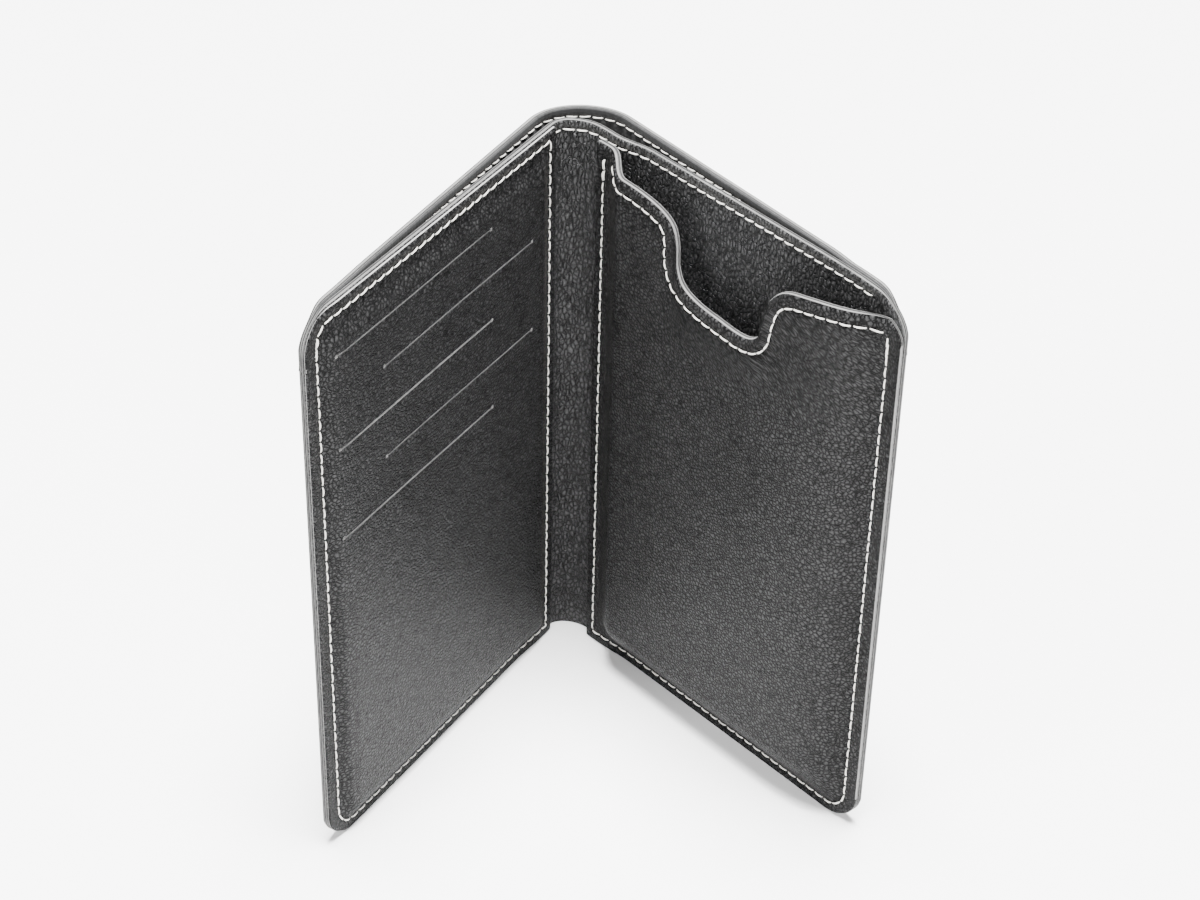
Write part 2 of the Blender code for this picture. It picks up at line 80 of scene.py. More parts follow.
# Shape of the phone pocket, the card panel and the cover. The pocket falls away to its free edge
# and its foot more gently than in the CAD, and the layers are pared where they are sewn.
CAD_LEATHER = 1.0
FRONT_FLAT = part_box("phone_pocket_front")[0].y / MM - PHONE_FOLD[1] + CAD_LEATHER / 2
PANEL_FLAT = -2.0
INNER_BULGE = 1.7
POCKET_RISE, POCKET_FALL, POCKET_FLOOR = (4.0, 15.0), (60.0, 89.6), (2.8, 15.0)
CARD_RISE, CARD_FALL, CARD_FLOOR = (3.4, 7.2), (85.8, 89.2), (3.4, 7.0)
CARD_CEILING = (HEIGHT - 9.2, HEIGHT - 4.2)
COVER_FLOOR, FOOT_RUN = (3.6, 18.0), (3.0, 16.0)
COVER_TAPER = 83.5
COVER_CLOSING = (66.0, 89.5)    # the cover comes down to the sewn free edge over this run
EDGE_SHARE = 0.5                # the layers are pared to this share of their thickness there
PARED, FOOT_SHARE, FOOT_PARED = (82.0, 90.5), 0.62, (2.0, 9.0)
PHONE_COVER, CARD_COVER = (7.8, 4.05), (5.4, 2.6)    # depth at the fold and at the free side
SPINE_FULLNESS, COVER_FULLNESS = 0.86, 0.93

# Seams
CREASE_SEAM, SEAM_INSET, FOOT_SEAM, TOP_SEAM = 2.8, 3.4, 3.0, 2.3
MOUTH_SEAM_INSET = 3.2
STITCH_PITCH, STITCH_SHARE, THREAD = 3.0, 0.79, 0.38
STITCH_BED = 0.05               # stitches start this far inside the leather's face
STITCH_SINK, STITCH_ARCH = 0.26, 0.4    # a stitch's ends go down and its middle comes up
STRAND_RELIEF, STRAND_TWIST = 0.13, 9.0
BORDER_DROP, BORDER_STOP = 3.6, 3.0     # the pocket seam's ends, below the mouth
INNER_HEM_END, INNER_HEM_GROOVE = 83.0, 84.0
OUTER_SEAM_START = 14.0         # of the cover's outer seam, beside the spine

# Card slits
SLIT_LENGTH, SLIT_OPENING, SLIT_TOP, SLIT_PITCH = 57.2, 0.22, 138.6, 12.3
SLIT_STARTS, SLIT_COUNT, SLIT_HOLE = (28.0, 11.8), 5, 0.5
STRIP_THICKNESS, STRIP_PITCH, STRIP_FIRST = 0.1, 0.19, -0.56
STRIP_MARGIN, STRIP_RISE, STRIP_DROP = 0.4, 4.5, 78.0
LIP_RUN_OUT, LIP_RUN_IN = 3, 8  # the lips of a slit fade in and out over this run at its ends
LOWER_LIP, UPPER_LIP = (1.4, 1.5, 0.16), (1.2, 1.3, 0.1)    # offset, spread and height
SLIT_ROWS = np.array([-0.9, -0.6, -0.42, -0.25, 0.25, 0.42, 0.6, 0.9])

# Pocket mouth, from the crease to the free edge, as (along the leaf, height)
MOUTH = (
    (0.6, 148.2), (7.5, 148.2), (11.5, 147.2), (21.0, 146.6), (27.5, 145.2), (31.0, 142.8),
    (32.4, 138.5), (32.6, 133.5), (34.4, 129.2), (38.7, 127.0), (46.0, 126.0), (54.5, 125.8),
    (58.4, 128.2), (59.7, 133.6), (61.6, 139.6), (65.4, 143.4), (71.0, 145.1), (79.0, 146.4),
    (86.5, 147.0), (89.8, 146.2), (92.6, 143.6), (93.3, 141.0),
)

# Mesh spacing
STEP = 0.8
EDGE_STEPS = np.array([0.0, 0.12, 0.3, 0.6, 1.0, 1.6, 2.3, 3.0])
RIM_RINGS = 6
LEVEL_MARGIN = 12.0             # rows of the mesh follow the edges this close to foot and top
POCKET_LEVEL_TOP = 112.0
MOUTH_STEP, MOUTH_SEAM_STEP, MOUTH_ROW_STEP = 0.55, 0.8, 0.45
BACK_SOFT_EDGE = 0.12


# ---------------------------------------------------------------- camera

def make_camera():
    """The view from above the open side, with a slight roll and an off-centre frame."""
    azimuth, elevation, roll = (math.radians(a) for a in (46.18, 38.38, 1.67))
    data = bpy.data.cameras.new("view")
    data.lens = 89.44
    data.sensor_width = 36.0
    data.shift_x, data.shift_y = -0.0147, 0.0108
    data.clip_start, data.clip_end = 0.05, 20.0
    camera = bpy.data.objects.new("view", data)
    back = Vector((math.sin(azimuth) * math.cos(elevation),
                   -math.cos(azimuth) * math.cos(elevation), math.sin(elevation)))
    level = Vector((math.cos(azimuth), math.sin(azimuth), 0.0))
    rise = back.cross(level)
    right = level * math.cos(roll) + rise * math.sin(roll)
    up = rise * math.cos(roll) - level * math.sin(roll)
    camera.matrix_world = Matrix.Translation((0.37721, -0.34757, 0.50779)) @ Matrix(
        (right, up, back)).transposed().to_4x4()
    bpy.context.scene.collection.objects.link(camera)
    bpy.context.scene.camera = camera


# ---------------------------------------------------------------- small helpers

def smooth(low, high, value):
    t = np.clip((value - low) / (high - low), 0.0, 1.0)
    return t * t * (3 - 2 * t)


def ripple(u, z, size, phase):
    """Slow unevenness of a hide: a few crossing waves, size is their height."""
    a = np.sin(u / 13.0 + 1.7 * np.sin(z / 31.0 + phase) + phase)
    b = np.sin(z / 17.0 + 1.3 * np.sin(u / 23.0 + 2 * phase) + 2.3 * phase)
    c = np.sin((u + z) / 7.3 + 1.9 * np.sin(z / 11.0 - phase) + 0.7 * phase)
    return size * (0.5 * a + 0.35 * b + 0.15 * c)


def curve_through(knots, step):
    """A smooth open line through the knots, with a point about every step."""
    knots = np.array(knots, float)
    slopes = np.gradient(knots, axis=0)
    chords = np.linalg.norm(np.diff(knots, axis=0), axis=1)
    slopes /= np.maximum(np.linalg.norm(slopes, axis=1), 1e-9)[:, None]
    points = [knots[:1]]
    for a, b, m, n, chord in zip(knots, knots[1:], slopes, slopes[1:], chords):
        t = np.linspace(0, 1, max(2, int(chord / step) + 1))[1:, None]
        points.append((2 * t ** 3 - 3 * t ** 2 + 1) * a + (t ** 3 - 2 * t ** 2 + t) * m * chord
                      + (3 * t ** 2 - 2 * t ** 3) * b + (t ** 3 - t ** 2) * n * chord)
    return np.concatenate(points)


def distance_to(u, z, line):
    """Shortest distance from each (u, z) to an open line."""
    best = np.full(u.shape, 1e9)
    for (u0, z0), (u1, z1) in zip(line, line[1:]):
        du, dz = u1 - u0, z1 - z0
        t = np.clip(((u - u0) * du + (z - z0) * dz) / max(du * du + dz * dz, 1e-12), 0, 1)
        best = np.minimum(best, np.hypot(u - u0 - t * du, z - z0 - t * dz))
    return best


def inset(line, amount):
    """The line moved to its right-hand side."""
    way = np.gradient(line, axis=0)
    way /= np.linalg.norm(way, axis=1)[:, None]
    return line + amount * np.stack([way[:, 1], -way[:, 0]], axis=1)


def arc(cu, cz, radius, start, count=8):
    angles = np.radians(np.linspace(start, start + 90.0, count))
    return np.stack([cu + radius * np.cos(angles), cz + radius * np.sin(angles)], axis=1)


# ---------------------------------------------------------------- surfaces

class Leaf:
    """A leaf's plane: the fold line, the way along it and the way out of the wallet."""

    def __init__(self, body, fold, angle, outward):
        self.body, self.fold = body, fold
        self.along = np.array([math.cos(angle), math.sin(angle)])
        self.out = outward * np.array([-self.along[1], self.along[0]])
        self.inward = -np.array([self.out[0], self.out[1], 0.0])
        self.outward = -self.inward

    def place(self, u, depth, z):
        u, depth, z = np.broadcast_arrays(u, depth, z)
        plan = self.fold + u[..., None] * self.along + depth[..., None] * self.out
        return np.concatenate([plan, z[..., None]], axis=-1)


PHONE = Leaf("phone_leaf", PHONE_FOLD, 0.0, 1)
CARD = Leaf("card_leaf", CARD_FOLD, CARD_ANGLE, -1)


def pared(u, z):
    """Share of the full thickness left near the sewn free edge and foot."""
    side = (1 - EDGE_SHARE) * smooth(*PARED, u)
    foot = (1 - FOOT_SHARE) * (1 - smooth(*FOOT_PARED, z)) * smooth(*FOOT_RUN, u)
    return 1 - np.maximum(side, foot)


def pocket_shape(u, z):
    low, high = POCKET_FALL
    along = smooth(*POCKET_RISE, u) * (1 - np.clip((u - low) / (high - low), 0, 1) ** 3.5)
    return along * smooth(*POCKET_FLOOR, z)


def front_depth(u, z):
    swell = FRONT_DEPTH * pared(u, z) + (FRONT_FLAT - FRONT_DEPTH) * pocket_shape(u, z)
    return swell + pocket_shape(u, z) * ripple(u, z, 0.14, 0.4)


def steepness(depth, u, z, probe=0.1):
    du = (depth(u + probe, z) - depth(u - probe, z)) / (2 * probe)
    dz = (depth(u, z + probe) - depth(u, z - probe)) / (2 * probe)
    return np.sqrt(1 + du * du + dz * dz)


def front_lining_depth(u, z):
    step = (FRONT_LINING_DEPTH - FRONT_DEPTH) * pared(u, z)
    return front_depth(u, z) + step * steepness(front_depth, u, z)


def inner_phone_depth(u, z):
    return INNER_BULGE * pocket_shape(u, z)


def inner_card_depth(u, z):
    return 0.0 * (u + z)


def panel_depth(u, z):
    along = smooth(*CARD_RISE, u) * (1 - smooth(*CARD_FALL, u))
    upright = smooth(*CARD_FLOOR, z) * (1 - smooth(*CARD_CEILING, z))
    swell = PANEL_DEPTH * pared(u, z) + (PANEL_FLAT - PANEL_DEPTH) * along * upright
    return swell - along * upright * (0.08 + ripple(u, z, 0.12, 1.9))


def cover_depth(u, z, ends, behind):
    taper = np.clip(u / COVER_TAPER, 0, 1)
    flat = ends[0] + (ends[1] - ends[0]) * taper
    joined = smooth(*COVER_CLOSING, u)
    foot = (1 - smooth(*COVER_FLOOR, z)) * smooth(*FOOT_RUN, u)
    sewn = COVER_EDGE * pared(u, z)
    open_depth = flat + (sewn - flat) * np.maximum(joined, foot)
    return np.maximum(open_depth, sewn + behind)


def phone_cover_depth(u, z):
    return cover_depth(u, z, PHONE_COVER, inner_phone_depth(u, z))


def card_cover_depth(u, z):
    return cover_depth(u, z, CARD_COVER, 0.0)


def leaf_surface(leaf, depth, offset=0.0):
    """The sheet at depth(u, z), moved outwards by offset square to itself."""
    def surface(u, z):
        u, z = np.broadcast_arrays(np.asarray(u, float), np.asarray(z, float))
        lift = offset * pared(u, z) * steepness(depth, u, z) if offset else 0.0
        return leaf.place(u, depth(u, z) + lift, z)
    return surface


def spine_turn(depths, setback, fullness, offset, half):
    """Half of a sheet's turn round the spine in plan, starting at its own leaf's fold line."""
    start = PHONE_FOLD + depths[0] * PHONE.out - setback * PHONE.along
    end = CARD_FOLD + depths[1] * CARD.out - setback * CARD.along
    turn = math.pi + CARD_ANGLE
    width = np.linalg.norm(end - start)
    handle = 4 / 3 * math.tan(turn / 4) * width / (2 * math.sin(turn / 2)) * fullness
    knots = (start, start - handle * PHONE.along, end - handle * CARD.along, end)
    t = np.linspace(0, 1, 121)[:, None]
    s = 1 - t
    path = (s ** 3 * knots[0] + 3 * s * s * t * knots[1] + 3 * s * t * t * knots[2]
            + t ** 3 * knots[3])
    way = np.gradient(path, axis=0)
    way /= np.linalg.norm(way, axis=1)[:, None]
    path = path + offset * np.stack([way[:, 1], -way[:, 0]], axis=1)
    if half == "phone":
        return np.concatenate([[PHONE_FOLD + (depths[0] + offset) * PHONE.out], path[:61]])
    return np.concatenate([[CARD_FOLD + (depths[1] + offset) * CARD.out], path[:59:-1]])


def wrapped_surface(leaf, depth, offset, plan):
    """A leaf's sheet for u above zero, and the plan line round the spine below zero."""
    runs = np.concatenate([[0.0], np.cumsum(np.linalg.norm(np.diff(plan, axis=0), axis=1))])
    flat = leaf_surface(leaf, depth, offset)

    def surface(u, z):
        u, z = np.broadcast_arrays(np.asarray(u, float), np.asarray(z, float))
        on_leaf = flat(np.maximum(u, 0.0), z)
        x = np.interp(-u, runs, plan[:, 0])
        y = np.interp(-u, runs, plan[:, 1])
        return np.where((u < 0)[..., None], np.stack([x, y, z], axis=-1), on_leaf)
    surface.end = -runs[-1]
    return surface


def cover_surface(side, offset=0.0):
    plan = spine_turn((PHONE_COVER[0], CARD_COVER[0]), 0.0, COVER_FULLNESS, offset, side)
    if side == "phone":
        return wrapped_surface(PHONE, phone_cover_depth, offset, plan)
    return wrapped_surface(CARD, card_cover_depth, offset, plan)


def inner_surface(side, offset=0.0):
    plan = spine_turn((0.0, 0.0), PANEL_START, SPINE_FULLNESS, offset, side)
    if side == "phone":
        return wrapped_surface(PHONE, inner_phone_depth, offset, plan)
    return wrapped_surface(CARD, inner_card_depth, offset, plan)


def square_to(surface, u, z, facing):
    """Unit vectors square to a surface, on the side that faces the given way."""
    d = 0.05
    along = surface(u + d, z) - surface(u - d, z)
    up = surface(u, z + d) - surface(u, z - d)
    n = np.cross(along, up)
    n /= np.linalg.norm(n, axis=-1)[..., None]
    return n * np.where((n @ facing) < 0, -1.0, 1.0)[..., None]


# ---------------------------------------------------------------- sheets

def corner_sag(u):
    """How much a rounded corner takes off a leaf's height at u."""
    over = np.clip(u - (REACH - CORNER), 0, CORNER)
    return CORNER - np.sqrt(CORNER * CORNER - over * over)


def foot_line(u):
    return corner_sag(u)


def top_line(u):
    return HEIGHT - corner_sag(u)


def u_stations(start, end, step, fine=()):
    """Stations from start to end: close together at the free edge, its corner and the seams."""
    edge = end - EDGE_STEPS
    corner = end - CORNER + CORNER * np.sin(np.linspace(0, math.pi / 2, 22))
    run = np.arange(start, end - EDGE_STEPS[-1], step)
    close = np.concatenate([np.asarray(f) + np.linspace(-0.9, 0.9, 7) for f in fine] or [[]])
    every = np.concatenate([run, edge, corner, close])
    every = np.unique(np.round(every[(every > start + 0.05) & (every < end - 0.05)], 3))
    every = every[np.concatenate([[True], np.diff(every) > 0.04])]
    return np.concatenate([[start], every, [end]])


def z_stations(u, low, high, step, fixed_from, fixed_to, extra=(), upper_step=None):
    """Heights for every column: fixed rows in the middle, and rows that follow the edges."""
    bottom, top = low(u)[:, None], high(u)[:, None]
    lower, upper = bottom + EDGE_STEPS, top - EDGE_STEPS[::-1]
    rows = np.unique(np.round(np.concatenate([np.arange(fixed_from, fixed_to, step),
                                              [fixed_to], extra]), 3))
    below = np.linspace(0, 1, int((fixed_from - EDGE_STEPS[-1]) / step) + 2)[1:-1]
    span = HEIGHT - fixed_to - EDGE_STEPS[-1]
    above = np.linspace(0, 1, int(span / (upper_step or step)) + 2)[1:-1]
    fixed = np.broadcast_to(rows, (len(u), len(rows)))
    first = lower[:, -1:] + (fixed[:, :1] - lower[:, -1:]) * below
    last = fixed[:, -1:] + (upper[:, :1] - fixed[:, -1:]) * above
    return np.concatenate([lower, first, fixed, last, upper], axis=1)


def rounding(edge_distance, radius):
    """How far a face drops towards a cut edge."""
    near = np.clip(1 - edge_distance / radius, 0, 1)
    return radius * (1 - np.sqrt(1 - near * near))


def groove(distance, depth=0.26, width=0.55):
    return depth * np.exp(-(distance / width) ** 2)


def solid(name, points, coords, thickness, facing, finishes, front_sunk, back_sunk, keep=None,
          plies=1, bulge=0.1, thin=1.0):
    """A closed sheet: its two faces, and a rim that bulges once for each ply.

    thin is the share of the thickness that is left, as one number or one for each point.
    """
    along, up = np.gradient(points, axis=0), np.gradient(points, axis=1)
    n = np.cross(along, up)
    n /= np.maximum(np.linalg.norm(n, axis=-1), 1e-12)[..., None]
    middle = n[n.shape[0] // 2, n.shape[1] // 2]
    flip = middle @ facing < 0
    n = -n if flip else n
    half = thickness / 2 * thin
    front = (points + n * (half - front_sunk)[..., None]).reshape(-1, 3)
    back = (points - n * (half - back_sunk)[..., None]).reshape(-1, 3)
    columns, rows = points.shape[:2]
    index = np.arange(columns * rows).reshape(columns, rows)
    cells = np.stack([index[:-1, :-1], index[1:, :-1], index[1:, 1:], index[:-1, 1:]], axis=-1)
    cells = cells.reshape(-1, 4) if keep is None else cells[keep]
    cells = cells[:, ::-1] if flip else cells
    total = columns * rows
    starts, ends = cells.ravel(), np.roll(cells, -1, axis=1).ravel()
    border = ~np.isin(starts * total + ends, ends * total + starts)
    starts, ends = starts[border], ends[border]

    outward = np.zeros((total, 3))
    side = np.cross(front[ends] - front[starts], n.reshape(-1, 3)[starts])
    side /= np.maximum(np.linalg.norm(side, axis=1), 1e-12)[:, None]
    np.add.at(outward, starts, side)
    np.add.at(outward, ends, side)
    on_rim = np.unique(starts)
    outward = outward[on_rim]
    outward /= np.maximum(np.linalg.norm(outward, axis=1), 1e-12)[:, None]
    place = np.full(total, -1)
    place[on_rim] = np.arange(len(on_rim))

    rings, shares = [], np.linspace(0, 1, RIM_RINGS + 1)[1:-1]
    for share in shares:
        swell = bulge * abs(math.sin(math.pi * plies * share)) + rng.normal(0, 0.015, len(on_rim))
        rings.append(front[on_rim] * (1 - share) + back[on_rim] * share + outward * swell[:, None])
    vertices = np.concatenate([front, back, *rings])
    shifts = [index.ravel()] + [2 * total + k * len(on_rim) + place for k in range(len(shares))]
    shifts.append(index.ravel() + total)
    faces = [cells, cells[:, ::-1] + total]
    for near, far in zip(shifts, shifts[1:]):
        faces.append(np.stack([near[ends], near[starts], far[starts], far[ends]], axis=1))
    kinds = np.concatenate([np.zeros(len(cells)), np.ones(len(cells)),
                            np.full(sum(len(f) for f in faces[2:]), 2)]).astype(np.int32)
    faces = np.concatenate(faces)
    used = np.zeros(len(vertices), bool)
    used[faces.ravel()] = True
    renumber = np.cumsum(used) - 1

    flat = coords.reshape(-1, 2)
    grain = np.concatenate([np.column_stack([flat, np.full(total, 0.0)]),
                            np.column_stack([flat, np.full(total, thickness)]),
                            *[np.column_stack([flat[on_rim], np.full(len(on_rim), s * thickness)])
                              for s in shares]])
    ply = np.concatenate([np.zeros(total), np.ones(total),
                          *[np.full(len(on_rim), s) for s in shares]])
    mesh = bpy.data.meshes.new(name)
    mesh.from_pydata((vertices[used] * MM).tolist(), [], renumber[faces].tolist())
    mesh.attributes.new("grain", "FLOAT_VECTOR", "POINT").data.foreach_set(
        "vector", (grain[used] * MM).astype(np.float32).ravel())
    mesh.attributes.new("ply", "FLOAT", "POINT").data.foreach_set(
        "value", (ply[used] * plies).astype(np.float32))
    for finish in finishes:
        mesh.materials.append(finish)
    mesh.polygons.foreach_set("material_index", kinds)
    mesh.shade_smooth()
    mesh.set_sharp_from_angle(angle=math.radians(48))
    mesh.update()
    piece = bpy.data.objects.new(name, mesh)
    bpy.context.scene.collection.objects.link(piece)
    return piece


def make_sheet(name, surface, start, thickness, facing, finishes, step=STEP, seams=(),
               low=foot_line, high=top_line, fine=(), fixed=(LEVEL_MARGIN, HEIGHT - LEVEL_MARGIN),
               extra=(), upper_step=None, edge_line=None,
               plies=1, keep=None, us=None, grain_from=0.0, grain_way=1, soft_edge=0.3):
    """A sheet over a surface, from start to the free edge, pressed in along its seams.

    fixed holds the lowest and highest row that stay level; the rows outside follow the edges.
    The grain is laid out by arc length, so it doesn't stretch where the sheet turns.
    """
    us = u_stations(start, REACH, step, fine) if us is None else us
    zs = z_stations(us, low, high, step, *fixed, extra, upper_step)
    u = np.broadcast_to(us[:, None], zs.shape)
    points = surface(u, zs)
    if edge_line is None:
        from_edge = np.minimum(zs - low(us)[:, None], high(us)[:, None] - zs)
        from_edge = np.minimum(from_edge, REACH - u)
    else:
        from_edge = np.minimum(distance_to(u, zs, edge_line), zs - low(us)[:, None])
    sunk = rounding(from_edge, soft_edge)
    back_sunk = rounding(from_edge, BACK_SOFT_EDGE)
    share = pared(u, zs)
    for line in seams:
        sunk = sunk + share * groove(distance_to(u, zs, line))
    kept = None if keep is None else keep(us, zs)
    runs = np.cumsum(np.linalg.norm(np.diff(points, axis=0), axis=-1), axis=0)
    runs = np.concatenate([np.zeros((1, runs.shape[1])), runs])
    coords = np.stack([grain_from + grain_way * runs, zs], axis=-1)
    return solid(name, points, coords, thickness, facing, finishes, sunk, back_sunk, kept, plies,
                 thin=share)


# ---------------------------------------------------------------- stitches

def stitch_run(name, finish, runs, pitch=STITCH_PITCH, slant=0.0):
    """Separate two-ply stitches; each run is (surface, line, lift from the surface, facing)."""
    sections, sides = 11, 8
    vertices, faces = [], []
    angle = np.linspace(0, 2 * math.pi, sides, endpoint=False)
    for surface, line, lift, facing in runs:
        line = np.asarray(line, float)
        lengths = np.concatenate([[0], np.cumsum(np.linalg.norm(np.diff(line, axis=0), axis=1))])
        count = max(1, round(lengths[-1] / pitch))
        real_pitch = lengths[-1] / count
        t = 0.5 - 0.5 * np.cos(np.linspace(0, math.pi, sections))
        for i in range(count):
            s = (i + 0.5 + (t - 0.5) * STITCH_SHARE) * real_pitch
            u, z = np.interp(s, lengths, line[:, 0]), np.interp(s, lengths, line[:, 1])
            way = np.array([u[-1] - u[0], z[-1] - z[0]])
            way /= max(np.linalg.norm(way), 1e-9)
            aside = (t - 0.5) * (slant + rng.normal(0, 0.05)) + rng.normal(0, 0.03)
            u, z = u - aside * way[1], z + aside * way[0]
            n = square_to(surface, u, z, facing)
            arch = np.sin(math.pi * np.clip(t, 0.0, 1.0)) ** 0.3
            height = lift * pared(u, z) - STITCH_SINK + STITCH_ARCH * arch
            centre = surface(u, z) + n * height[:, None]
            ahead = np.gradient(centre, axis=0)
            ahead /= np.linalg.norm(ahead, axis=1)[:, None]
            wide = np.cross(ahead, n)
            wide /= np.linalg.norm(wide, axis=1)[:, None]
            tall = np.cross(wide, ahead)
            turned = 2 * angle[None, :] - STRAND_TWIST * t[:, None] + i
            twist = 1 + STRAND_RELIEF * np.cos(turned)
            radius = THREAD / 2 * (0.72 + 0.28 * arch)[:, None] * twist
            ring = (centre[:, None] + wide[:, None] * (radius * np.cos(angle))[..., None] * 1.08
                    + tall[:, None] * (radius * np.sin(angle))[..., None] * 0.9)
            base = len(vertices) * sections * sides
            vertices.append(ring.reshape(-1, 3))
            for k in range(sections - 1):
                for j in range(sides):
                    a, b = base + k * sides + j, base + k * sides + (j + 1) % sides
                    faces.append((a, b, b + sides, a + sides))
            faces.append(tuple(base + j for j in reversed(range(sides))))
            faces.append(tuple(base + (sections - 1) * sides + j for j in range(sides)))
    mesh = bpy.data.meshes.new(name)
    mesh.from_pydata((np.concatenate(vertices) * MM).tolist(), [], faces)
    mesh.materials.append(finish)
    mesh.shade_smooth()
    mesh.update()
    piece = bpy.data.objects.new(name, mesh)
    bpy.context.scene.collection.objects.link(piece)
    return piece


# ---------------------------------------------------------------- materials

class Nodes:
    """Short calls for building a material's node tree."""

    def __init__(self, name):
        self.material = bpy.data.materials.new(name)
        self.material.use_nodes = True
        self.tree = self.material.node_tree
        self.shader = self.tree.nodes["Principled BSDF"]

    def add(self, kind, settings=None, **inputs):
        node = self.tree.nodes.new("ShaderNode" + kind)
        for key, value in (settings or {}).items():
            setattr(node, key, value)
        for key, value in inputs.items():
            self.put(node.inputs[key.replace("_", " ")], value)
        return node

    def put(self, socket, value):
        if isinstance(value, bpy.types.NodeSocket):
            self.tree.links.new(value, socket)
        else:
            socket.default_value = value

    def coords(self):
        return self.add("Attribute", {"attribute_name": "grain"}).outputs["Vector"]

    def ramp(self, value, *stops):
        node = self.add("ValToRGB", Fac=value)
        ramp = node.color_ramp
        while len(ramp.elements) < len(stops):
            ramp.elements.new(0.5)
        for element, (place, colour) in zip(ramp.elements, stops):
            element.position = place
            colour = colour if isinstance(colour, tuple) else (colour,) * 3
            element.color = (*colour, 1.0)
        return node.outputs["Color"]

    def math(self, operation, a, b=0.0):
        node = self.add("Math", {"operation": operation})
        self.put(node.inputs[0], a)
        self.put(node.inputs[1], b)
        return node.outputs[0]

    def multiply_colours(self, a, b):
        node = self.add("Mix", {"data_type": "RGBA", "blend_type": "MULTIPLY"})
        self.put(node.inputs["Factor"], 1.0)
        self.put(node.inputs["A"], a)
        self.put(node.inputs["B"], b)
        return node.outputs["Result"]

    def bump(self, height, distance):
        return self.add("Bump", Height=height, Distance=distance).outputs["Normal"]


def leather(name, dark, light, cell, grain_height, stretch=(1.0, 1.0, 1.0), roughness=0.4,
            shine=0.06):
    """Pebbled leather: cell is the grain's size in millimetres."""
    m = Nodes(name)
    place = m.add("Mapping", Vector=m.coords(), Scale=stretch).outputs["Vector"]
    drift = m.add("TexNoise", Vector=place, Scale=1 / (1.6 * cell * MM), Detail=2.0)
    shift = m.add("VectorMath", {"operation": "SCALE"})
    m.put(shift.inputs[0], drift.outputs["Color"])
    m.put(shift.inputs["Scale"], 0.45 * cell * MM)
    moved = m.add("VectorMath", {"operation": "ADD"})
    m.put(moved.inputs[0], place)
    m.put(moved.inputs[1], shift.outputs[0])
    moved = moved.outputs[0]
    gaps = m.add("TexVoronoi", {"feature": "DISTANCE_TO_EDGE"}, Vector=moved,
                 Scale=1 / (cell * MM)).outputs["Distance"]
    pebbles = m.ramp(gaps, (0.0, 0.0), (0.12, 0.55), (0.42, 1.0))
    fine = m.add("TexVoronoi", {"feature": "DISTANCE_TO_EDGE"}, Vector=moved,
                 Scale=1 / (0.42 * cell * MM)).outputs["Distance"]
    small = m.ramp(fine, (0.0, 0.0), (0.2, 1.0))
    pores = m.add("TexNoise", Vector=place, Scale=1 / (0.2 * cell * MM), Detail=2.0,
                  Roughness=0.6).outputs["Fac"]
    patches = m.add("TexNoise", Vector=m.coords(), Scale=1 / (24 * MM), Detail=4.0,
                    Roughness=0.6).outputs["Fac"]
    height = m.math("MULTIPLY", pebbles, 0.72)
    height = m.math("ADD", height, m.math("MULTIPLY", small, 0.16))
    height = m.math("ADD", height, m.math("MULTIPLY", pores, 0.12))
    # Painted shade between the pebbles, painted highlight on their tops; the patches add random
    # tone.
    tone = m.ramp(m.math("ADD", m.math("MULTIPLY", height, 0.8), m.math("MULTIPLY", patches, 0.2)),
                  (0.42, dark), (0.92, light))
    m.put(m.shader.inputs["Base Color"], tone)
    rough = m.math("ADD", roughness - 0.06, m.math("MULTIPLY", patches, 0.12))
    m.put(m.shader.inputs["Roughness"], rough)
    m.shader.inputs["Specular IOR Level"].default_value = shine
    m.put(m.shader.inputs["Normal"], m.bump(height, grain_height * MM))
    return m.material


def cut_edge(name, dark, light):
    """Bare cut edge of the leather: pale fibres, and a dark line where two plies are glued."""
    m = Nodes(name)
    place = m.add("Mapping", Vector=m.coords(), Scale=(1.0, 1.0, 3.5)).outputs["Vector"]
    fibres = m.add("TexNoise", Vector=place, Scale=1 / (0.9 * MM), Detail=6.0,
                   Roughness=0.75).outputs["Fac"]
    stains = m.add("TexNoise", Vector=m.coords(), Scale=1 / (9 * MM), Detail=3.0).outputs["Fac"]
    ply = m.add("Attribute", {"attribute_name": "ply"}).outputs["Fac"]
    across = m.math("FRACT", ply)
    edge = m.math("MULTIPLY", m.math("ABSOLUTE", m.math("SUBTRACT", across, 0.5)), 2.0)
    line = m.ramp(edge, (0.0, 1.0), (0.62, 1.0), (0.95, 0.12))
    tone = m.ramp(m.math("ADD", m.math("MULTIPLY", fibres, 0.7), m.math("MULTIPLY", stains, 0.3)),
                  (0.32, dark), (0.62, light))
    m.put(m.shader.inputs["Base Color"], m.multiply_colours(tone, line))
    m.shader.inputs["Roughness"].default_value = 0.8
    m.shader.inputs["Sheen Weight"].default_value = 0.25
    m.put(m.shader.inputs["Normal"], m.bump(fibres, 0.12 * MM))
    return m.material


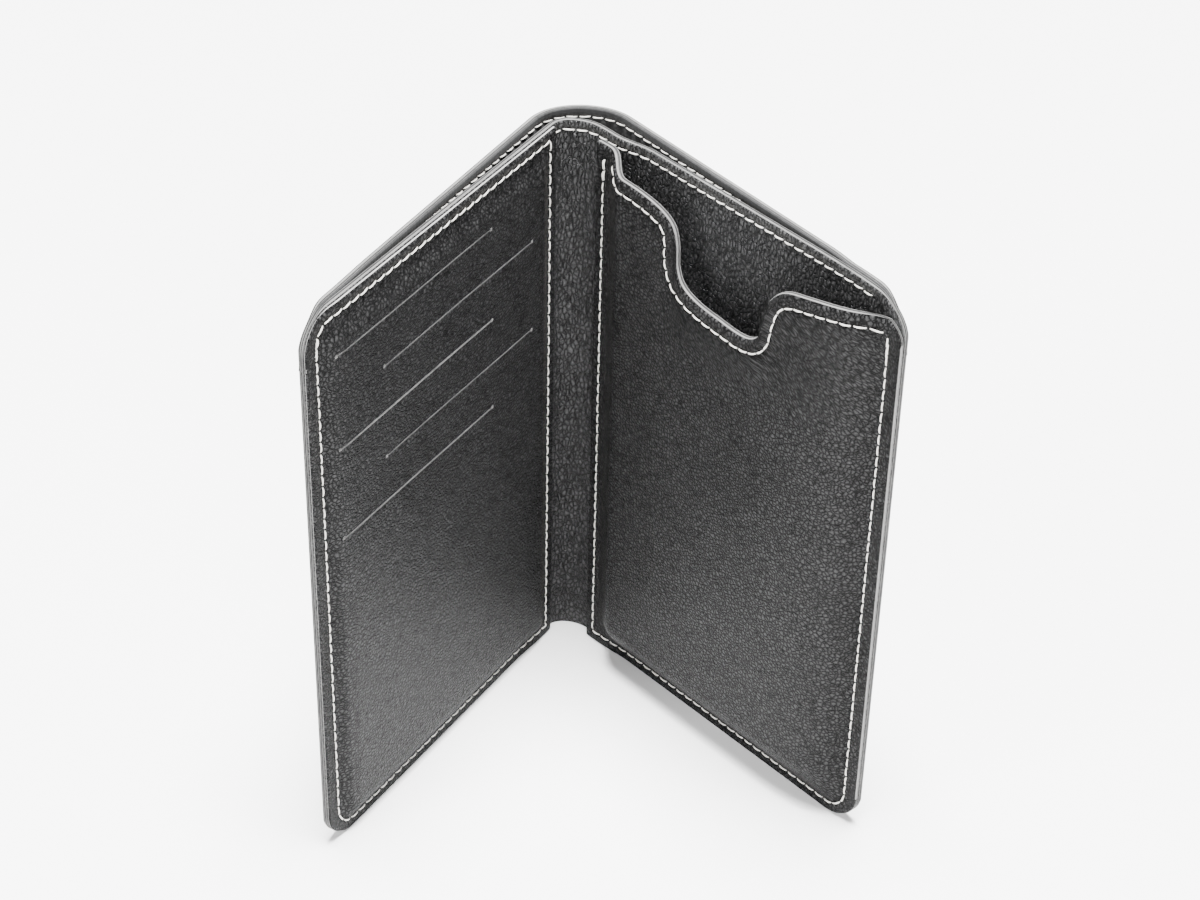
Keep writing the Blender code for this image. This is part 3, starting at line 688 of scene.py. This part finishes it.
def cloth(name, dark, light, pitch=0.55):
    """Matte lining with a fine close weave and a brushed surface."""
    m = Nodes(name)
    place = m.coords()
    across = m.add("TexWave", {"bands_direction": "X"}, Vector=place, Scale=1 / (6.28 * pitch * MM),
                   Distortion=1.0, Detail=1.0).outputs["Fac"]
    up = m.add("TexWave", {"bands_direction": "Y"}, Vector=place, Scale=1 / (6.28 * pitch * MM),
               Distortion=1.0, Detail=1.0).outputs["Fac"]
    nap = m.add("TexNoise", Vector=place, Scale=1 / (0.6 * MM), Detail=5.0,
                Roughness=0.7).outputs["Fac"]
    drawn_out = m.add("Mapping", Vector=place, Scale=(1.0, 0.12, 1.0)).outputs["Vector"]
    brushed = m.add("TexNoise", Vector=drawn_out, Scale=1 / (1.6 * MM), Detail=3.0).outputs["Fac"]
    weave = m.math("MULTIPLY", across, up)
    height = m.math("ADD", m.math("MULTIPLY", weave, 0.5), nap)
    tone = m.math("ADD", m.math("MULTIPLY", nap, 0.5), m.math("MULTIPLY", brushed, 0.5))
    m.put(m.shader.inputs["Base Color"], m.ramp(tone, (0.3, dark), (0.75, light)))
    m.shader.inputs["Roughness"].default_value = 0.92
    m.shader.inputs["Sheen Weight"].default_value = 0.12
    m.put(m.shader.inputs["Normal"], m.bump(height, 0.08 * MM))
    return m.material


def waxed_thread(name):
    m = Nodes(name)
    place = m.add("TexCoord").outputs["Object"]
    fibres = m.add("TexNoise", Vector=place, Scale=1 / (0.18 * MM), Detail=4.0,
                   Roughness=0.7).outputs["Fac"]
    wear = m.add("TexNoise", Vector=place, Scale=1 / (7 * MM), Detail=2.0).outputs["Fac"]
    tone = m.math("ADD", m.math("MULTIPLY", fibres, 0.5), m.math("MULTIPLY", wear, 0.5))
    colour = m.ramp(tone, (0.3, (0.5, 0.48, 0.44)), (0.65, (0.78, 0.76, 0.71)))
    m.put(m.shader.inputs["Base Color"], colour)
    m.shader.inputs["Roughness"].default_value = 0.6
    m.shader.inputs["Sheen Weight"].default_value = 0.2
    m.put(m.shader.inputs["Normal"], m.bump(fibres, 0.03 * MM))
    return m.material


# ---------------------------------------------------------------- seams and openings

def leaf_border(top_corner):
    """Seam down the crease, along the foot, round the corner and up the free edge."""
    outer, turn = REACH - SEAM_INSET, CORNER - SEAM_INSET
    line = [[CREASE_SEAM, HEIGHT - TOP_SEAM], [CREASE_SEAM, FOOT_SEAM]]
    line += list(arc(outer - turn, FOOT_SEAM + turn, turn, 270.0))
    if top_corner:
        line += list(arc(outer - turn, HEIGHT - TOP_SEAM - turn, turn, 0.0))
        return np.array(line + [line[0]])
    return np.array(line + [[outer, MOUTH[-2][1] - BORDER_STOP]])


def slit_rows():
    """(start, height) of every card slit."""
    return [(SLIT_STARTS[k % 2], SLIT_TOP - k * SLIT_PITCH) for k in range(SLIT_COUNT)]


def open_slits(us, zs):
    """Which cells of the card panel stay, once the slits and their end holes are cut."""
    u = (us[:-1, None] + us[1:, None]) / 2
    z = (zs[:-1, :-1] + zs[1:, 1:]) / 2
    u = np.broadcast_to(u, z.shape)
    keep = np.ones(z.shape, bool)
    for start, height in slit_rows():
        keep &= ~((np.abs(z - height) < SLIT_OPENING / 2)
                  & (u > start) & (u < start + SLIT_LENGTH))
        for end in (start, start + SLIT_LENGTH):
            keep &= np.hypot(u - end, z - height) > SLIT_HOLE
    return keep


# ---------------------------------------------------------------- pieces

def finishes():
    edge = cut_edge("cut_edge", (0.05, 0.05, 0.049), (0.19, 0.187, 0.182))
    panel_edge = cut_edge("panel_edge", (0.13, 0.13, 0.128), (0.42, 0.415, 0.405))
    return {
        "leather": leather("pebbled_leather", (0.003, 0.003, 0.0031), (0.052, 0.052, 0.0526),
                           0.95, 0.7),
        "cover": leather("cover_leather", (0.003, 0.003, 0.0031), (0.04, 0.04, 0.0405), 1.0, 0.5),
        # The spine leather is the pebbled leather made lighter: painted light for the brightness
        # the spine band catches.
        "spine": leather("spine_leather_painted_light", (0.005, 0.005, 0.0051), (0.08, 0.08, 0.081), 1.1, 0.8,
                         stretch=(1.2, 0.72, 1.0), shine=0.3),
        "suede": cloth("suede_lining", (0.008, 0.008, 0.008), (0.035, 0.035, 0.036)),
        "strip": cloth("pocket_cloth", (0.006, 0.006, 0.006), (0.022, 0.022, 0.022), 0.4),
        "edge": edge,
        "panel_edge": panel_edge,
        "thread": waxed_thread("waxed_thread"),
    }


# Along the leaf: where a piece stops following the spine, and where it follows its leaf alone
BEND_RUN = {"cover": (-7.0, 10.0), "inner": (-5.0, 0.8)}


def bend(piece, leaf, kind):
    """Bake a piece's transform into its mesh; where it would turn from the spine to its leaf is
    worked out but not used.
    """
    low, high = BEND_RUN[kind]
    start = leaf.place(low, 0.0, HEIGHT / 2) * MM
    end = leaf.place(high, 0.0, HEIGHT / 2) * MM
    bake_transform(piece)


def make_phone_pocket(look):
    mouth = curve_through(MOUTH, MOUTH_STEP)
    mouth[:, 0] = np.maximum.accumulate(mouth[:, 0]) + np.arange(len(mouth)) * 1e-4
    mouth = mouth[mouth[:, 0] <= REACH]
    mouth_seam = inset(curve_through(MOUTH[1:-2], MOUTH_SEAM_STEP), MOUTH_SEAM_INSET)
    border = leaf_border(False)
    border[0, 1] = MOUTH[0][1] - BORDER_DROP

    def high(u):
        return np.interp(u, mouth[:, 0], mouth[:, 1])
    us = np.unique(np.round(np.concatenate([
        mouth[:, 0], u_stations(PANEL_START, REACH, STEP, (CREASE_SEAM, REACH - SEAM_INSET))]), 4))
    us = us[np.concatenate([[True], np.diff(us) > 0.012])]
    shape = dict(high=high, us=us, fixed=(LEVEL_MARGIN, POCKET_LEVEL_TOP),
                 upper_step=MOUTH_ROW_STEP, edge_line=mouth)
    front = make_sheet("phone_pocket_front_leather", leaf_surface(PHONE, front_depth), PANEL_START,
                       POCKET_FRONT, PHONE.inward, (look["leather"], look["suede"], look["edge"]),
                       seams=(border, mouth_seam), soft_edge=0.55, **shape)
    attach(front, "phone_leaf")
    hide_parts("phone_pocket_front")
    lining = make_sheet("phone_pocket_suede", leaf_surface(PHONE, front_lining_depth), PANEL_START,
                        POCKET_LINING, PHONE.inward, (look["suede"], look["suede"], look["edge"]),
                        **shape)
    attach(lining, "phone_leaf")
    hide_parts("phone_pocket_lining")

    surface, lift = leaf_surface(PHONE, front_depth), POCKET_FRONT / 2 - STITCH_BED
    seam = stitch_run("phone_pocket_stitches", look["thread"],
                      [(surface, border, lift, PHONE.inward)])
    corner = [(CREASE_SEAM + 0.35, border[0, 1] + 0.3), (CREASE_SEAM + 0.45, border[0, 1] - 5.6)]
    free = [(border[-1, 0] - 0.45, border[-1, 1] + 1.6), (border[-1, 0] - 0.4, border[-1, 1] - 4.0)]
    again = stitch_run("phone_pocket_backstitches", look["thread"],
                       [(surface, corner, lift + 0.08, PHONE.inward),
                        (surface, free, lift + 0.08, PHONE.inward)], pitch=2.6)
    mouth_stitches = stitch_run("phone_mouth_stitches", look["thread"],
                                [(surface, mouth_seam, lift, PHONE.inward)])
    for piece, node in ((seam, "phone_pocket_seam"), (again, "phone_pocket_seam"),
                        (mouth_stitches, "phone_mouth_seam")):
        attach(piece, "phone_leaf")
        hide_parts(node)
    return front, lining


def make_card_panel(look):
    border = leaf_border(True)
    slit_ends = [end for start, _ in slit_rows() for end in (start, start + SLIT_LENGTH)]
    slit_heights = np.concatenate([height + SLIT_ROWS for _, height in slit_rows()])

    def surface_depth(u, z):
        depth = panel_depth(u, z)
        for start, height in slit_rows():
            end = start + SLIT_LENGTH
            inside = smooth(start - LIP_RUN_OUT, start + LIP_RUN_IN, u) * (
                1 - smooth(end - LIP_RUN_IN, end + LIP_RUN_OUT, u))
            below = np.exp(-((z - height + LOWER_LIP[0]) / LOWER_LIP[1]) ** 2)
            above = np.exp(-((z - height - UPPER_LIP[0]) / UPPER_LIP[1]) ** 2)
            depth = depth - inside * (LOWER_LIP[2] * below - UPPER_LIP[2] * above)
        return depth
    surface = leaf_surface(CARD, surface_depth)
    us = np.unique(np.concatenate([
        u_stations(PANEL_START, REACH, STEP, (CREASE_SEAM, REACH - SEAM_INSET)),
        *[end + np.linspace(-0.8, 0.8, 9) for end in set(slit_ends)]]))
    us = us[np.concatenate([[True], np.diff(us) > 0.04])]
    panel = make_sheet("card_panel_leather", surface, PANEL_START, PANEL, CARD.inward,
                       (look["leather"], look["suede"], look["panel_edge"]), seams=(border,), us=us,
                       soft_edge=0.45, extra=slit_heights, keep=open_slits)
    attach(panel, "card_leaf")
    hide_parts("card_panel")

    lift = PANEL / 2 - STITCH_BED
    sides = border[:-1]
    top = np.array([[CREASE_SEAM, HEIGHT - TOP_SEAM], border[-2]])
    seam = stitch_run("card_panel_stitches", look["thread"], [(surface, sides, lift, CARD.inward)])
    slanted = stitch_run("card_panel_top_stitches", look["thread"],
                         [(surface, top, lift, CARD.inward)], slant=-0.5)
    ends = [(REACH - SEAM_INSET - 0.75, HEIGHT - TOP_SEAM - 3.2),
            (REACH - SEAM_INSET + 0.3, HEIGHT - TOP_SEAM - 7.6)]
    again = stitch_run("card_panel_backstitches", look["thread"],
                       [(surface, ends, lift + 0.1, CARD.inward)], pitch=1.9)
    for piece in (seam, slanted, again):
        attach(piece, "card_leaf")
        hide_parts("card_panel_seam")
    return panel


def make_card_strips(look):
    """The cloth pocket behind each slit."""
    strips = []
    for k, (start, height) in enumerate(slit_rows()):
        depth = STRIP_FIRST - k * STRIP_PITCH
        bottom = max(CARD_FLOOR[1] + STRIP_MARGIN, height - STRIP_DROP)
        top = height + STRIP_RISE
        us = np.linspace(start - STRIP_MARGIN, start + SLIT_LENGTH + STRIP_MARGIN, 30)
        zs = np.broadcast_to(np.linspace(bottom, top, 36), (30, 36))
        u = np.broadcast_to(us[:, None], zs.shape)
        points = CARD.place(u, depth + 0.0 * u, zs)
        none = np.zeros(zs.shape)
        strip = solid(f"card_pocket_strip_{k + 1}", points, np.stack([u, zs], axis=-1),
                      STRIP_THICKNESS, CARD.inward, (look["strip"],) * 3, none, none, bulge=0.02)
        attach(strip, "card_leaf")
        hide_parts(f"card_pocket_{k + 1}")
        strips.append(strip)
    return strips


def make_wraps(look):
    """The cover, its lining, the inner sheet and its lining: one piece each side of the spine."""
    made = {}
    hem = HEIGHT - TOP_SEAM
    for side, leaf, way in (("phone", PHONE, 1), ("card", CARD, -1)):
        cover = cover_surface(side)
        over = dict(grain_from=cover_surface("phone").end, grain_way=way)
        within = dict(grain_from=inner_surface("phone").end, grain_way=way)
        top_hem = np.array([[cover.end, hem], [REACH - CORNER, hem]])
        turn = CORNER - SEAM_INSET
        outer_turn = np.concatenate([
            [[OUTER_SEAM_START, FOOT_SEAM]],
            arc(REACH - CORNER, FOOT_SEAM + CORNER - SEAM_INSET, turn, 270.0),
            arc(REACH - CORNER, hem - CORNER + SEAM_INSET, turn, 0.0)])
        piece = make_sheet(f"cover_leather_{side}", cover, cover.end, COVER, leaf.outward,
                           (look["cover"], look["suede"], look["edge"]),
                           seams=(top_hem, outer_turn), fine=(REACH - SEAM_INSET,), step=1.0,
                           soft_edge=0.45, **over)
        made["cover_" + side] = piece
        inside = cover_surface(side, -COVER_STEP)
        lining = make_sheet(f"cover_suede_{side}", inside, inside.end, CLOTH, leaf.inward,
                            (look["suede"], look["suede"], look["edge"]), seams=(top_hem,),
                            step=1.2)
        made["cover_lining_" + side] = lining
        inner = inner_surface(side)
        sheet = make_sheet(f"inner_leather_{side}", inner, inner.end, INNER, leaf.inward,
                           (look["spine"], look["suede"], look["edge"]), plies=2, step=0.9,
                           seams=(np.array([[inner.end, hem], [INNER_HEM_GROOVE, hem]]),), **within)
        made["inner_" + side] = sheet
        behind = inner_surface(side, INNER_LINING_STEP)
        backing = make_sheet(f"inner_suede_{side}", behind, behind.end, CLOTH, leaf.outward,
                             (look["suede"], look["suede"], look["edge"]), step=1.5)
        made["inner_lining_" + side] = backing

        inner_end = INNER_HEM_END if side == "phone" else PANEL_START
        hems = stitch_run(f"inner_hem_stitches_{side}", look["thread"],
                          [(inner, [(inner.end, hem), (inner_end, hem)], INNER / 2 - STITCH_BED,
                            leaf.inward)], slant=0.2)
        inside_hem = stitch_run(f"cover_hem_stitches_{side}", look["thread"],
                                [(inside, [(inside.end, hem), (REACH - CORNER, hem)],
                                  CLOTH / 2 - STITCH_BED, leaf.inward)], slant=0.2)
        outside = stitch_run(f"cover_outer_stitches_{side}", look["thread"],
                             [(cover, top_hem, COVER / 2 - STITCH_BED, leaf.outward),
                              (cover, outer_turn, COVER / 2 - STITCH_BED, leaf.outward)])
        for item, kind, slot in ((piece, "cover", "leather"), (lining, "cover", "lining"),
                                 (sheet, "inner", "inner_leather"), (backing, "inner", "lining"),
                                 (hems, "inner", "thread"), (inside_hem, "cover", "thread"),
                                 (outside, "cover", "thread")):
            bend(item, leaf, kind)
        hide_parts(f"cover_{side}_side", "spine_cover")
        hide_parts(f"cover_lining_{side}_side", "spine_cover_lining")
        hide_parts(f"inner_sheet_{side}_side", "spine_inner_sheet")
        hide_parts(f"inner_lining_{side}_side", "spine_inner_lining")
        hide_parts(f"cover_hem_{side}_side", "spine_cover_hem")
        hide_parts("spine_inner_hem")
        if side == "phone":
            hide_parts("inner_hem_phone_side")
    return made


def declare_sheets(wraps):
    """Works out the surface of each wrapped sheet, and keeps nothing of it."""
    for name, piece in wraps.items():
        side = name.rsplit("_", 1)[1]
        is_cover = name.startswith("cover")
        surface = cover_surface(side) if is_cover else inner_surface(side)


# ---------------------------------------------------------------- room

def make_room():
    floor_material = bpy.data.materials.new("pale_floor")
    floor_material.use_nodes = True
    shader = floor_material.node_tree.nodes["Principled BSDF"]
    shader.inputs["Base Color"].default_value = (0.93, 0.93, 0.93, 1.0)
    shader.inputs["Roughness"].default_value = 0.9
    mesh = bpy.data.meshes.new("floor")
    size = 6.0
    mesh.from_pydata([(-size, -size, 0), (size, -size, 0), (size, size, 0), (-size, size, 0)], [],
                     [(0, 1, 2, 3)])
    mesh.materials.append(floor_material)
    floor = bpy.data.objects.new("floor", mesh)
    bpy.context.scene.collection.objects.link(floor)

    world = bpy.data.worlds.new("studio")
    world.use_nodes = True
    world.node_tree.nodes["Background"].inputs["Color"].default_value = (1.0, 1.0, 1.0, 1.0)
    world.node_tree.nodes["Background"].inputs["Strength"].default_value = 0.2
    bpy.context.scene.world = world

    for name, place, size, power in (("overhead_softbox", (0.05, 0.1, 3.0), 1.3, 760.0),
                                     ("left_softbox", (-0.15, -1.0, 0.65), 0.3, 10.0),
                                     ("right_softbox", (0.9, -0.5, 0.65), 0.3, 10.0)):
        data = bpy.data.lights.new(name, "AREA")
        data.shape, data.size, data.energy = "SQUARE", size, power
        light = bpy.data.objects.new(name, data)
        light.location = place
        aim = Vector((0.0, 0.0, 0.08)) - Vector(place)
        light.rotation_euler = aim.to_track_quat("-Z", "Y").to_euler()
        bpy.context.scene.collection.objects.link(light)


make_camera()
look = finishes()
wraps = make_wraps(look)
pocket_front, pocket_lining = make_phone_pocket(look)
card_panel = make_card_panel(look)
make_card_strips(look)
declare_sheets(wraps)
make_room()
